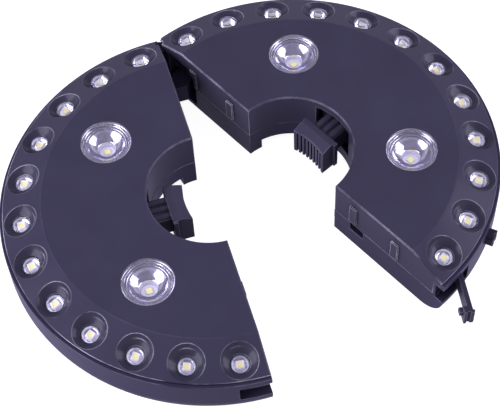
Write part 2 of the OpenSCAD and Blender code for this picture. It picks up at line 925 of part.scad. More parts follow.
// The small clear lenses: a domed cap with a flange under the cover
module small_lenses() color(clear_plastic) {
    dome_r = (lens_r * lens_r + lens_dome * lens_dome) / (2 * lens_dome);
    at_small_lights() difference() {
        union() {
            post(lens_flange_r, -board_depth, -led_boss_depth);
            post(lens_r, -board_depth, -cup_depth);
            intersection() {
                translate([0, 0, lens_dome - cup_depth - dome_r]) sphere(r = dome_r);
                post(lens_r, -cup_depth - over, 0);
            }
        }
        post(lens_r - lens_skin, -board_depth - over, -cup_depth - lens_skin);
    }
}

module left_small_lenses() place_half("left") small_lenses();
module right_small_lenses() place_half("right") small_lenses();

// The small bright bowls inside the lenses
module small_reflectors() color(bright_metal) {
    bowl_top = -cup_depth - 2 * lens_skin;
    at_small_lights() difference() {
        post(lens_r - lens_skin - lens_gap / 2, -board_depth, bowl_top);
        translate([0, 0, -board_depth])
            cylinder(r1 = small_bowl_floor_r, r2 = small_bowl_r, h = board_depth + bowl_top + fit_gap / 20);
    }
}

module left_small_reflectors() place_half("left") small_reflectors();
module right_small_reflectors() place_half("right") small_reflectors();

// The small square emitters on the ring board, each with its glowing patch
module small_emitters() color(emitter_yellow) {
    at_small_lights() {
        block([-chip_w / 2, -chip_w / 2, -board_depth], [chip_w / 2, chip_w / 2, chip_h - board_depth]);
        block([-chip_glow_w / 2, -chip_glow_w / 2, -board_depth],
            [chip_glow_w / 2, chip_glow_w / 2, chip_h + chip_glow_h - board_depth]);
    }
}

module left_small_emitters() place_half("left") small_emitters();
module right_small_emitters() place_half("right") small_emitters();

// The sloping board that carries the ring of small emitters
module ring_board() color(board_green) {
    mid_r = led_r - board_depth * sin(lean);
    mid_z = led_z - board_depth * cos(lean);
    reach = ring_board_w / 2;
    intersection() {
        rotate_extrude()
            polygon([[mid_r - reach * cos(lean), mid_z + reach * sin(lean)],
                [mid_r + reach * cos(lean), mid_z - reach * sin(lean)],
                [mid_r + reach * cos(lean), mid_z - reach * sin(lean) - ring_board_t],
                [mid_r - reach * cos(lean), mid_z + reach * sin(lean) - ring_board_t]]);
        beyond(ring_board_end);
    }
}

module left_ring_board() place_half("left") ring_board();
module right_ring_board() place_half("right") ring_board();

// The flat board under the large lamps
module main_board() color(board_green) {
    half = stem_w / 2 + slide_gap + channel_wall + fit_gap;
    outer = flat_r - board_gap;
    difference() {
        intersection() {
            post(outer, board_z - board_t, board_z);
            beyond(straight_in + board_gap);
        }
        post(notch_in + board_gap, 0, thickness);
        block([0, -half, 0], [channel_end + channel_end_t + fit_gap, half, thickness]);
        block([0, -slot_half - 2 * over, 0],
            [channel_front + 2 * channel_front_t, slot_half + 2 * over, thickness]);
        at_screws() post(screw_boss_r + fit_gap, 0, thickness);
        block([0, hinge_y - pocket_far - board_gap - pocket_wall, 0],
            [pocket_deep + pocket_wall + board_gap, disc_r, thickness]);
    }
}

module left_main_board() place_half("left") main_board();
module right_main_board() place_half("right") main_board();

// Places children at each cell, +Y towards its terminal
module at_cells() {
    for (i = [-1, 1])
        translate([(bay_start + bay_end) / 2 + i * cell_pitch / 2, 0, cell_z]) mirror([0, i < 0 ? 0 : 1, 0])
            children();
}

// Place of the flat end of a cell, from the terminal's contact
function cell_tip_y() = bay_half - contact_t - contact_dimple;
function cell_foot_y() = cell_tip_y() - cell_len;

module battery_cells() color(cell_jacket) {
    at_cells() rotate([-90, 0, 0]) {
        post(cell_r, cell_foot_y(), cell_tip_y() - cell_terminal_h);
        post(cell_terminal_r, cell_foot_y(), cell_tip_y());
    }
}

module left_battery_cells() place_half("left") battery_cells();
module right_battery_cells() place_half("right") battery_cells();

// The metal plates at both ends of the cells
module contact_plates() color(steel) {
    at_cells() {
        block([-contact_w / 2, bay_half - contact_t, -contact_w / 2],
            [contact_w / 2, bay_half, contact_w / 2]);
        rotate([-90, 0, 0]) post(contact_dimple_r, cell_tip_y(), bay_half - contact_t / 2);
        block([-contact_w / 2, -bay_half, -contact_w / 2],
            [contact_w / 2, contact_t - bay_half, contact_w / 2]);
    }
}

module left_contact_plates() place_half("left") contact_plates();
module right_contact_plates() place_half("right") contact_plates();

// Points of a coil about Z that may narrow as it climbs
function coil_points(r1, r2, length, turns, steps) = [
    for (i = [0 : turns * steps])
        let (share = i / (turns * steps), r = r1 + (r2 - r1) * share, a = 360 * i / steps)
        [r * cos(a), r * sin(a), length * share]
];

// Least gap between neighbouring turns of a coil, measured on its points
function coil_gap(points, steps, wire_r) =
    min([for (i = [0 : len(points) - steps - 1]) norm(points[i + steps] - points[i])]) - 2 * wire_r;

// A wire of six sides swept along a coil, closed at both ends
module coil_wire(points, wire_r) {
    sides = 6;
    last = len(points) - 1;
    rings = [
        for (i = [0 : last])
            let (
                along = points[min(i + 1, last)] - points[max(i - 1, 0)],
                forward = along / norm(along),
                out = [points[i][0], points[i][1], 0] / norm([points[i][0], points[i][1]]),
                side = cross(forward, out) / norm(cross(forward, out)),
                up = cross(side, forward)
            )
            for (k = [0 : sides - 1])
                points[i] + wire_r * (cos(360 * k / sides) * up + sin(360 * k / sides) * side)
    ];
    skin = [
        for (i = [0 : last - 1], k = [0 : sides - 1])
            let (a = i * sides + k, b = i * sides + (k + 1) % sides)
            each [[a, a + sides, b], [b, a + sides, b + sides]]
    ];
    near = [for (k = [1 : sides - 2]) [0, k, k + 1]];
    far = [for (k = [1 : sides - 2]) [last * sides, last * sides + k + 1, last * sides + k]];
    polyhedron(points = rings, faces = concat(skin, near, far));
}

coil_steps = 8;
contact_spring_len = cell_foot_y() + bay_half - contact_t - 2 * contact_wire_r;
contact_coil = coil_points(contact_spring_r, contact_spring_top_r, contact_spring_len, contact_turns,
    coil_steps);
jaw_spring_len = channel_end - stem_bore_x - 2 * jaw_wire_r;
jaw_coil = coil_points(jaw_spring_r, jaw_spring_r, jaw_spring_len, jaw_spring_turns, coil_steps);
echo(contact_spring_gap = coil_gap(contact_coil, coil_steps, contact_wire_r));
echo(jaw_spring_gap = coil_gap(jaw_coil, coil_steps, jaw_wire_r));

// The coil springs behind the flat ends of the cells
module contact_springs() color(steel) {
    at_cells() translate([0, contact_t + contact_wire_r - bay_half, 0]) rotate([-90, 0, 0])
        coil_wire(contact_coil, contact_wire_r);
}

module left_contact_springs() place_half("left") contact_springs();
module right_contact_springs() place_half("right") contact_springs();

// Gripping head of a jaw: a hollowed face with upright ribs under a sloping ledge
module jaw_head() {
    mid_x = jaw_reach + jaw_hollow - jaw_hollow_r;
    ridge_x = jaw_reach + jaw_ledge_x + jaw_ridge_w;
    pitch = jaw_w / jaw_ribs;
    difference() {
        block([jaw_reach, -jaw_w / 2, jaw_bottom], [jaw_back_x, jaw_w / 2, jaw_top]);
        translate([mid_x, 0, 0]) post(jaw_hollow_r, 0, thickness);
        for (i = [1 : jaw_ribs - 1])
            let (y = i * pitch - jaw_w / 2, face = mid_x + sqrt(jaw_hollow_r * jaw_hollow_r - y * y))
                block([0, y - pitch / 4, 0], [face + jaw_rib_depth, y + pitch / 4, jaw_top - jaw_ledge_h]);
        translate([jaw_reach + jaw_ledge_x, 0, jaw_top]) rotate([0, -atan2(jaw_ledge_drop, jaw_ledge_x), 0])
            block([-2 * jaw_ledge_x, -jaw_w, 0], [0, jaw_w, 2 * jaw_ledge_drop]);
        translate([ridge_x, 0, jaw_top]) rotate([0, atan2(jaw_back_drop, jaw_back_x - ridge_x), 0])
            block([0, -jaw_w, 0], [2 * jaw_d, jaw_w, 2 * jaw_back_drop]);
    }
}

// Stem of a jaw: a box with three rounded ridges, stop lugs and a bore for its spring
module jaw_stem() {
    half = stem_w / 2;
    difference() {
        union() {
            block([jaw_back_x - jaw_back_t, -half, stem_bottom], [stem_end_x, half, stem_core_top]);
            for (i = [-1 : 1])
                translate([jaw_back_x - jaw_back_t, i * stem_w / 3, stem_top - stem_ridge_r])
                    rotate([0, 90, 0]) post(stem_ridge_r, 0, stem_len + jaw_back_t);
            block([stem_end_x - stem_lug_len, -half - stem_lug_out, stem_mid_z - stem_lug_h / 2],
                [stem_end_x, half + stem_lug_out, stem_mid_z + stem_lug_h / 2]);
        }
        translate([0, 0, stem_mid_z]) rotate([0, 90, 0]) post(stem_bore_r, stem_bore_x, stem_end_x + over);
    }
}

module jaw() color(dark_plastic) {
    jaw_head();
    block([jaw_back_x - jaw_back_t, -jaw_w / 2 - jaw_back_out, jaw_bottom],
        [jaw_back_x, jaw_w / 2 + jaw_back_out, jaw_top - jaw_back_drop]);
    jaw_stem();
}

module left_jaw() place_half("left") jaw();
module right_jaw() place_half("right") jaw();

// The spring that pushes a jaw towards the pole
module jaw_spring() color(steel) {
    translate([stem_bore_x + jaw_wire_r, 0, stem_mid_z]) rotate([0, 90, 0]) coil_wire(jaw_coil, jaw_wire_r);
}

module left_jaw_spring() place_half("left") jaw_spring();
module right_jaw_spring() place_half("right") jaw_spring();

// The screws that hold the cover to the housing, driven from the back
module cover_screws() color(steel) {
    at_screws() difference() {
        union() {
            post(screw_head_r, screw_sink - screw_head_h, screw_sink);
            post(screw_r, screw_sink - screw_head_h, screw_sink + screw_len - over);
        }
        for (turn = [0, 90])
            rotate([0, 0, turn]) block([-screw_cross / 2, -screw_cross_w / 2, 0],
                [screw_cross / 2, screw_cross_w / 2, screw_sink - screw_head_h + screw_cross_deep]);
    }
}

module left_cover_screws() place_half("left") cover_screws();
module right_cover_screws() place_half("right") cover_screws();

module hinge_pin() color(steel) {
    at_hinge() {
        post(pin_r, knuckle_bottom, pin_top);
        post(pin_head_r, knuckle_bottom, knuckle_bottom + pin_head_h);
    }
}

// The latch arm along +X from its pivot, with the hook turned to +Y
module latch_form() {
    half = latch_t / 2;
    top = latch_bottom + latch_h;
    difference() {
        union() {
            post(latch_barrel_r, latch_bottom, top);
            block([0, -half, latch_bottom], [latch_len, half, top]);
            block([latch_len - hook_w, -half, latch_bottom], [latch_len, hook_reach, top]);
            block([latch_len - hook_w, 0, top - barb_top_gap - barb_h],
                [latch_len - hook_w + barb_w, barb_reach, top - barb_top_gap]);
            translate([latch_len - finger_w / 2, -half, 0]) post(finger_out, latch_bottom, top);
        }
        post(latch_pin_r + pin_gap, 0, thickness);
        translate([latch_len, (hook_reach - half) / 2, 0]) post(finger_out, 0, thickness);
    }
}

module latch_arm() color(dark_plastic) place_half("right") {
    translate([latch_x, latch_y, 0]) rotate([0, 0, 180 + latch_open]) mirror([0, 1, 0]) latch_form();
}

module latch_pin() color(steel) place_half("right") {
    translate([latch_x, latch_y, 0]) post(latch_pin_r, latch_floor + latch_block_in, latch_roof);
}

// A bar with rounded corners along the button's direction, drawn larger all round by a margin
module button_bar(low, high, margin) {
    half_w = button_w / 2 - button_round;
    half_h = button_h / 2 - button_round;
    out = button_round + margin;
    block([low, -half_w, button_z - half_h - out], [high, half_w, button_z + half_h + out]);
    block([low, -half_w - out, button_z - half_h], [high, half_w + out, button_z + half_h]);
    for (side = [-1, 1], end = [-1, 1])
        translate([0, side * half_w, button_z + end * half_h]) rotate([0, 90, 0]) post(out, low, high);
}

module power_button() color(dark_plastic) place_half("right") {
    half_w = button_w / 2;
    half_h = button_h / 2;
    rotate([0, 0, button_angle]) difference() {
        union() {
            button_bar(button_back_r, disc_r + button_out, 0);
            block([button_back_r, -half_w - button_flange, button_z - half_h - button_flange],
                [button_back_r + button_flange_t, half_w + button_flange, button_z + half_h + button_flange]);
            translate([0, 0, button_z]) rotate([0, 90, 0])
                post(button_stem_r, button_back_r - button_stem_len, button_back_r + over);
        }
        translate([disc_r + button_out, 0, 0]) post(button_groove_deep, 0, thickness);
        for (side = [-1, 1])
            translate([disc_r + button_out, side * half_w, 0]) rotate([0, 0, 45])
                cube([button_groove, button_groove, 2 * thickness], center = true);
    }
}

module power_switch() color(dark_plastic) place_half("right") {
    half = switch_w / 2;
    rotate([0, 0, button_angle]) difference() {
        block([switch_back_r(), -half, button_z - half],
            [switch_back_r() + switch_len, half, button_z + half]);
        translate([0, 0, button_z]) rotate([0, 90, 0])
            post(button_stem_r + switch_fit, switch_back_r() + switch_len - switch_bore, disc_r);
    }
}

left_front_cover();
left_back_housing();
left_battery_door();
left_lamp_lenses();
left_lamp_reflectors();
left_lamp_emitters();
left_small_lenses();
left_small_reflectors();
left_small_emitters();
left_ring_board();
left_main_board();
left_battery_cells();
left_contact_plates();
left_contact_springs();
left_jaw();
left_jaw_spring();
left_cover_screws();
right_front_cover();
right_back_housing();
right_battery_door();
right_lamp_lenses();
right_lamp_reflectors();
right_lamp_emitters();
right_small_lenses();
right_small_reflectors();
right_small_emitters();
right_ring_board();
right_main_board();
right_battery_cells();
right_contact_plates();
right_contact_springs();
right_jaw();
right_jaw_spring();
right_cover_screws();
hinge_pin();
latch_arm();
latch_pin();
power_button();
power_switch();
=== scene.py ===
# %% [markdown]
# # A patio umbrella light, dressed in Blender
#
# The object is a battery light that closes round the pole of a patio umbrella. Two half discs of
# dark plastic are hinged at the far end, and each carries two large lamps and a ring of twelve
# small ones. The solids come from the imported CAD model. This script gives them their finishes,
# models the lamps again in more detail, and sets up the camera, the lights and the floor.

from math import atan2, cos, pi, radians, sin, sqrt

import bpy
from mathutils import Matrix, Vector


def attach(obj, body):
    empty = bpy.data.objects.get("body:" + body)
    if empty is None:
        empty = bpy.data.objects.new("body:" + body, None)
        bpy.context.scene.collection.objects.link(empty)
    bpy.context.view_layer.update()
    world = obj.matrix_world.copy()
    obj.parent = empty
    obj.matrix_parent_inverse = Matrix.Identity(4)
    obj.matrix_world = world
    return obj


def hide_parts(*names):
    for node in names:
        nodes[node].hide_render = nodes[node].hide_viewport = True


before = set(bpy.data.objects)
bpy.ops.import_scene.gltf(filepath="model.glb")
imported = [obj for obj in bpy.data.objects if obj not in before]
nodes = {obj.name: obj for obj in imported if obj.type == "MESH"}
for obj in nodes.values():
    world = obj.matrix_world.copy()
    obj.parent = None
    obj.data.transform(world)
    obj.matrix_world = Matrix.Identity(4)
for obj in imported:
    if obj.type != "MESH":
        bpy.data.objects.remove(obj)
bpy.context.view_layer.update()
print("CAD nodes:", len(nodes))

# %% [markdown]
# ## The camera
#
# The photograph was taken from above and in front, with the camera turned a little about its own
# axis. A camera could be aimed with a constraint, but the turn about the view axis would still
# have to be added. Here the three axes of the camera are worked out from where it stands, what it
# looks at and its turn, and they become the columns of its matrix.

# %% Camera
CAMERA_STANDS = Vector((-0.08109, -0.41596, 0.6666))
CAMERA_AIM = Vector((0.01696, -0.01542, 0.0390))
CAMERA_TURN = radians(-3.398)
FOCAL_LENGTH = 105.95
SENSOR_WIDTH = 36.0

lens_data = bpy.data.cameras.new("photo_camera")
lens_data.lens = FOCAL_LENGTH
lens_data.sensor_width = SENSOR_WIDTH
camera = bpy.data.objects.new("photo_camera", lens_data)
bpy.context.scene.collection.objects.link(camera)

ahead = (CAMERA_AIM - CAMERA_STANDS).normalized()
level = ahead.cross(Vector((0, 0, 1))).normalized()
upward = level.cross(ahead)
across = level * cos(CAMERA_TURN) + upward * sin(CAMERA_TURN)
above = upward * cos(CAMERA_TURN) - level * sin(CAMERA_TURN)
axes = Matrix((across, above, -ahead)).transposed().to_4x4()
camera.matrix_world = Matrix.Translation(CAMERA_STANDS) @ axes
bpy.context.scene.camera = camera
bpy.context.scene.view_settings.view_transform = "Standard"
print("camera is", round((CAMERA_AIM - CAMERA_STANDS).length, 3), "m from what it looks at")

# %% [markdown]
# ## Nodes by hand, in a few words
#
# A material is a small graph. Adding a node, setting its sockets and joining it to others takes
# several lines of Python, so a few helpers keep the recipes below readable. The first ones start
# a material, give sockets their values or the outputs that feed them, and add a node.

# %% Helpers that start and join


def start_material(name):
    """A new material with its graph and its Principled shader."""
    material = bpy.data.materials.new(name)
    material.use_nodes = True
    tree = material.node_tree
    shader = next(n for n in tree.nodes if n.type == "BSDF_PRINCIPLED")
    return material, tree, shader


def feed(tree, node, sockets):
    """Gives each socket of a node a value, or the output that feeds it."""
    for key, value in sockets.items():
        if isinstance(value, bpy.types.NodeSocket):
            tree.links.new(value, node.inputs[key])
        else:
            node.inputs[key].default_value = value


def add(tree, kind, sockets=None, **settings):
    """A node with its settings, and its sockets fed."""
    made = tree.nodes.new(kind)
    for key, value in settings.items():
        setattr(made, key, value)
    feed(tree, made, sockets or {})
    return made


def give_surface(tree, shader_node):
    """Makes a shader the one that the material shows."""
    out = next(n for n in tree.nodes if n.type == "OUTPUT_MATERIAL")
    tree.links.new(shader_node.outputs[0], out.inputs["Surface"])


print("helpers that start and join are ready")

# %% [markdown]
# ## The nodes that every recipe needs
#
# Most finishes are made of the same few nodes: a place on the piece, a noise there, a change of
# range, a mix of two colours, a little arithmetic and a bump. Each gets a helper that returns
# the output, so that one can be written inside another.

# %% Helpers for the common nodes


def object_place(tree):
    """Where a point lies on its piece, in metres."""
    return add(tree, "ShaderNodeTexCoord").outputs["Object"]


def noise_at(tree, place, scale, detail=2.0, roughness=0.5):
    """A soft random value that changes from place to place."""
    sockets = {"Vector": place, "Scale": scale, "Detail": detail, "Roughness": roughness}
    return add(tree, "ShaderNodeTexNoise", sockets).outputs["Fac"]


def ranged(tree, value, low, high, to_low=0.0, to_high=1.0):
    """A value taken from one range to another, and kept within it."""
    sockets = {"Value": value, "From Min": low, "From Max": high,
               "To Min": to_low, "To Max": to_high}
    return add(tree, "ShaderNodeMapRange", sockets).outputs["Result"]


def shade_of(colour, factor):
    """The same colour, lighter or darker."""
    return tuple(min(1.0, c * factor) for c in colour)


def blend_colours(tree, share, first, second):
    """Two colours mixed by a share."""
    first, second = ((*c, 1.0) if isinstance(c, tuple) else c for c in (first, second))
    mix = add(tree, "ShaderNodeMix", {0: share, 6: first, 7: second}, data_type="RGBA")
    return mix.outputs[2]


def product(tree, first, second):
    """One value times another."""
    return add(tree, "ShaderNodeMath", {0: first, 1: second}, operation="MULTIPLY").outputs[0]


def larger(tree, first, second):
    """The larger of two values."""
    return add(tree, "ShaderNodeMath", {0: first, 1: second}, operation="MAXIMUM").outputs[0]


def agreement(tree, first, second):
    """One for two directions that are the same, and zero where they are square to each other."""
    sockets = {0: first, 1: second}
    return add(tree, "ShaderNodeVectorMath", sockets, operation="DOT_PRODUCT").outputs["Value"]


def upright_part(tree, vector):
    """The part of a vector that points up."""
    return add(tree, "ShaderNodeSeparateXYZ", {"Vector": vector}).outputs["Z"]


def bumped(tree, height, strength, distance, **normal):
    """The normal of a surface whose height follows a value."""
    sockets = {"Height": height, "Strength": strength, "Distance": distance, **normal}
    return add(tree, "ShaderNodeBump", sockets).outputs["Normal"]


print("helpers for the common nodes are ready")

# %% [markdown]
# ## Painted shade in hollows and painted highlights on edges
#
# The hollows of the plastic, such as the cups round the small lights, are darkened with painted
# shade, and its edges get a painted highlight. Both could be painted by hand, but two nodes find
# them. Ambient Occlusion finds the hollows. Bevel finds the edges: it looks at the normals nearby,
# and where they differ from the face's own normal the surface turns a corner.
#
# In the photograph only the edges that face the brighter soft box, on the left, show a pale
# line, so the mask of the edges is weighted by the way the rounded edge faces, and the clouds in
# the plastic break it up.

# %% Masks of painted shade in hollows and painted highlights on edges
HOLLOW_SHADE_REACH = 0.009
EDGE_RADIUS = 0.0007
BRIGHT_SIDE = (-0.85, -0.53, 0.0)
EDGE_IN_SHADE = 0.12


def painted_hollow_shade_mask(tree):
    """One in a hollow, where shade is painted, and zero in the open."""
    sky = add(tree, "ShaderNodeAmbientOcclusion", {"Distance": HOLLOW_SHADE_REACH}, samples=6,
              only_local=True)
    return ranged(tree, sky.outputs["AO"], 0.96, 0.72)


def painted_edge_highlight_mask(tree, rounded, own, cloud):
    """One on an edge that faces the bright lamp, where a highlight is painted, and zero away from
    the edges.
    """
    corner = ranged(tree, agreement(tree, rounded, own), 0.995, 0.86)
    flash = ranged(tree, agreement(tree, rounded, BRIGHT_SIDE), -0.35, 0.35, EDGE_IN_SHADE)
    broken_up = ranged(tree, cloud, 0.36, 0.62)
    return product(tree, product(tree, corner, flash), broken_up)


print("edges are rounded by", EDGE_RADIUS, "m")

# %% [markdown]
# ## The polished band and cups
#
# The sloping band of the front cover and its cups are more polished than the flat lit face and
# the walls. A clear coat gives them that polish. It lies on the cups, thinner on the band, and
# not at all on the walls and the lit face. They are told apart by their height and by how far
# the surface looks upwards, so no second material is needed.

# %% Mask of the polish
CUP_COAT = 0.32
BAND_COAT_SHARE = 0.5
POLISH_FADE = 0.0002


def polish_mask(tree, place, own, top):
    """How thick the clear coat is on what slopes, below a height."""
    upwards = upright_part(tree, own)
    below = ranged(tree, upright_part(tree, place), top, top - POLISH_FADE)
    sloping = ranged(tree, upwards, 0.3, 0.5, to_high=CUP_COAT)
    band = ranged(tree, upwards, 0.89, 0.93, 1.0, BAND_COAT_SHARE)
    return product(tree, below, product(tree, sloping, band))


print("the coat on the band is", CUP_COAT * BAND_COAT_SHARE)

# %% [markdown]
# ## Moulded plastic
#
# The shell is dark plastic with a violet tint and a very fine spark-eroded grain. A flat colour
# would look like a toy, so the recipe has layers: soft clouds in the colour, grain in the bump,
# small changes in the gloss, painted shade that darkens the hollows and a painted highlight on the
# edges that face the bright lamp. The Bevel node feeds the bump too, so that every sharp edge
# catches the light as if it had the small radius of a moulded part. Where there is a clear coat,
# the edges with the painted highlight have it as well, so they flash where they face a lamp.

# %% Recipe for moulded plastic
CLOUD_SCALE = 34.0
CLOUD_DEPTH = 0.07
SHINE = 0.08
SHINE_TINT = (0.80, 0.78, 1.0, 1.0)


def moulded_plastic(name, colour, roughness, grain=0.00035, edge=(0.24, 0.225, 0.31),
                    hollow=0.3, polish_below=None):
    """Plastic whose grain is in metres. Its hollows get painted shade that keeps a share of its
    colour, and its edges facing the bright lamp get a painted highlight.
    """
    material, tree, shader = start_material(name)
    place = object_place(tree)
    cloud = noise_at(tree, place, CLOUD_SCALE, detail=4.0, roughness=0.6)
    rounded = add(tree, "ShaderNodeBevel", {"Radius": EDGE_RADIUS}, samples=6).outputs["Normal"]
    own = add(tree, "ShaderNodeNewGeometry").outputs["Normal"]
    edge_highlight = painted_edge_highlight_mask(tree, rounded, own, cloud)

    tone = blend_colours(tree, ranged(tree, cloud, 0.3, 0.7), shade_of(colour, 1 - CLOUD_DEPTH),
                         shade_of(colour, 1 + CLOUD_DEPTH))
    # Painted shade: the hollows are darkened to a share of the colour.
    tone = blend_colours(tree, painted_hollow_shade_mask(tree), tone, shade_of(colour, hollow))
    feed(tree, shader, {
        # Painted highlight: a pale colour on the edges that face the bright lamp.
        "Base Color": blend_colours(tree, edge_highlight, tone, edge),
        "Roughness": ranged(tree, cloud, 0.3, 0.7, roughness - 0.04, roughness + 0.05),
        "Specular IOR Level": SHINE,
        "Specular Tint": SHINE_TINT,
        "Normal": bumped(tree, noise_at(tree, place, 1.0 / grain), 0.25, 0.00006,
                         Normal=rounded)})
    if polish_below:
        polish = polish_mask(tree, place, own, polish_below)
        feed(tree, shader, {"Coat Weight": larger(tree, polish, edge_highlight), "Coat Normal": rounded,
                            "Coat Roughness": 0.15, "Coat IOR": 1.45})
    return material


print("clouds change the colour by", CLOUD_DEPTH)

# %% [markdown]
# ## The seven plastics
#
# Every moulded piece has its own plastic, since the pieces of a real light come from different
# tools. The front cover is polished below its lit face, and has the palest painted edge highlights
# and the deepest painted shade in its hollows. The jaws and the battery doors have a coarser
# grain, and the latch and the button are darker and glossier than the shell.

# %% Plastics
SHELL_COLOUR = (0.037, 0.0335, 0.062)
# Each plastic's hollow share sets its painted shade in hollows, and its edge colour is a painted
# highlight.
shell_plastic = moulded_plastic("shell_plastic", SHELL_COLOUR, 0.42, edge=(0.80, 0.78, 0.92),
                                hollow=0.08, polish_below=0.0389)
housing_plastic = moulded_plastic("housing_plastic", (0.032, 0.0285, 0.060), 0.40, hollow=0.45)
jaw_plastic = moulded_plastic("jaw_plastic", (0.042, 0.037, 0.067), 0.50, grain=0.0005,
                              hollow=0.6)
latch_plastic = moulded_plastic("latch_plastic", shade_of(SHELL_COLOUR, 0.75), 0.34)
button_plastic = moulded_plastic("button_plastic", shade_of(SHELL_COLOUR, 0.55), 0.36, hollow=0.6)
door_plastic = moulded_plastic("door_plastic", shade_of(SHELL_COLOUR, 0.95), 0.42, grain=0.0005)
switch_plastic = moulded_plastic("switch_plastic", (0.012, 0.012, 0.014), 0.5)
print("the shell's plastic has", len(shell_plastic.node_tree.nodes), "nodes")

# %% [markdown]
# ## Clear plastic
#
# The fronts of the lamps are clear acrylic. Glass shaders are slow to let light through to what
# lies behind, so the shader becomes plainly see-through for shadow rays. The rest is a
# Principled shader with full transmission and the refractive index of acrylic.

# %% Recipe for clear plastic
ACRYLIC_INDEX = 1.49


def clear_plastic(name, tint, roughness):
    material, tree, shader = start_material(name)
    haze = noise_at(tree, object_place(tree), 260.0)
    feed(tree, shader, {
        "Base Color": blend_colours(tree, haze, tint, shade_of(tint, 0.97)),
        "Transmission Weight": 1.0,
        "IOR": ACRYLIC_INDEX,
        "Roughness": ranged(tree, haze, 0.0, 1.0, roughness, roughness + 0.03)})
    through = add(tree, "ShaderNodeBsdfTransparent", {"Color": (0.96, 0.96, 0.99, 1.0)})
    ray = add(tree, "ShaderNodeLightPath").outputs
    give_surface(tree, add(tree, "ShaderNodeMixShader", {
        0: ray["Is Shadow Ray"], 1: shader.outputs[0], 2: through.outputs[0]}))
    return material


lens_clear = clear_plastic("lens_clear", (0.97, 0.97, 1.0), 0.01)
small_lens_clear = clear_plastic("small_lens_clear", (0.95, 0.95, 1.0), 0.03)
print("clear plastics:", lens_clear.name, small_lens_clear.name)

# %% [markdown]
# ## Metals
#
# The bowls are plastic with a bright plating, and the pins, screws, springs and contacts are
# metal. All are the same recipe with other numbers: a metallic shader whose roughness and bump
# come from noise. Stretching that noise along one axis gives the drawn or brushed look.

# %% Recipe for metals


def bright_metal(name, colour, roughness, scale, stretch=(1, 1, 1)):
    material, tree, shader = start_material(name)
    laid = add(tree, "ShaderNodeMapping", {"Vector": object_place(tree), "Scale": stretch})
    grain = noise_at(tree, laid.outputs["Vector"], scale, detail=4.0)
    feed(tree, shader, {
        "Base Color": blend_colours(tree, grain, shade_of(colour, 0.9), colour),
        "Metallic": 1.0,
        "Roughness": ranged(tree, grain, 0.3, 0.7, roughness, roughness * 1.6),
        "Normal": bumped(tree, grain, 0.3, 0.00001)})
    return material


bowl_plating = bright_metal("bowl_plating", (0.90, 0.88, 1.0), 0.12, 120.0)
small_bowl_plating = bright_metal("small_bowl_plating", (0.93, 0.92, 1.0), 0.14, 300.0)
mouth_plating = bright_metal("mouth_plating", (0.94, 0.91, 1.0), 0.18, 160.0)
# Painted shade: a dark plating for the low walls between the steps of a mouth.
step_wall_shade_plating = bright_metal("step_wall_shade_plating", (0.20, 0.19, 0.27), 0.40, 160.0)
pin_steel = bright_metal("pin_steel", (0.52, 0.51, 0.53), 0.22, 900.0, stretch=(1, 1, 0.1))
screw_steel = bright_metal("screw_steel", (0.50, 0.50, 0.53), 0.3, 1200.0)
spring_steel = bright_metal("spring_steel", (0.60, 0.60, 0.62), 0.2, 1500.0,
                            stretch=(0.2, 1, 1))
contact_nickel = bright_metal("contact_nickel", (0.72, 0.70, 0.66), 0.2, 1100.0,
                              stretch=(1, 0.15, 1))
print("a large bowl has", bowl_plating.name, mouth_plating.name, step_wall_shade_plating.name)

# %% [markdown]
# ## Emitters
#
# An unlit white light emitter is a pale square package with a yellow patch of phosphor in it.
# The package is smooth, and the phosphor is a set resin full of fine powder, so its grain is in
# the colour as well as the bump. A little emission makes the unlit phosphor glow, which is painted
# light. The phosphor of the large lamps is brighter and glows more, painted light for emitters
# that sit in the shade of their bowls. The pale seat of a large emitter glows faintly too, painted
# light that stands in for the light the bright bowl gathers on it.

# %% Recipes for emitters


def package_white(name, colour, glow=0.0):
    material, tree, shader = start_material(name)
    mottle = noise_at(tree, object_place(tree), 1800.0, detail=3.0)
    feed(tree, shader, {
        "Base Color": blend_colours(tree, mottle, shade_of(colour, 0.9), colour),
        "Roughness": 0.35,
        # Painted light: an even glow in the package's own colour, used on the seat for the light
        # its bowl gathers.
        "Emission Color": (*colour, 1.0),
        "Emission Strength": glow,
        "Normal": bumped(tree, mottle, 0.2, 0.00002)})
    return material


def phosphor(name, colour, pale, glow):
    material, tree, shader = start_material(name)
    place = object_place(tree)
    powder = add(tree, "ShaderNodeTexVoronoi", {"Vector": place, "Scale": 5200.0})
    speck = powder.outputs["Distance"]
    drift = noise_at(tree, place, 900.0, detail=3.0)
    grainy = blend_colours(tree, speck, colour, pale)
    feed(tree, shader, {
        "Base Color": blend_colours(tree, drift, grainy, colour),
        "Roughness": 0.28,
        # Painted light: the unlit phosphor glows in its own colour.
        "Emission Color": (*colour, 1.0),
        "Emission Strength": glow,
        "Normal": bumped(tree, speck, 0.3, 0.00003)})
    return material


emitter_white = package_white("emitter_white", (0.90, 0.88, 0.88))
seat_white = package_white("seat_white", (0.93, 0.91, 1.0), glow=0.16)
emitter_yellow = phosphor("emitter_yellow", (0.84, 0.75, 0.24), (0.92, 0.87, 0.50), glow=0.16)
# Painted light: the large phosphor is brighter and glows more, for emitters in the shade of their
# bowls.
large_emitter_yellow = phosphor("large_emitter_yellow", (0.93, 0.87, 0.36), (0.97, 0.95, 0.62),
                                glow=0.42)
print("an emitter has", emitter_white.name, "round", emitter_yellow.name)

# %% [markdown]
# ## Boards and cells
#
# Inside the halves lie the circuit boards and the battery cells. The boards get a green lacquer
# over faint copper tracks, drawn by a Brick texture whose mortar is the track. The cells get a
# dark sleeve with a warm band at one end.

# %% Recipes for boards and cells
BAND_STARTS = 0.012
BAND_FULL = 0.0125
BLACK = (0, 0, 0, 1)
WHITE = (1, 1, 1, 1)


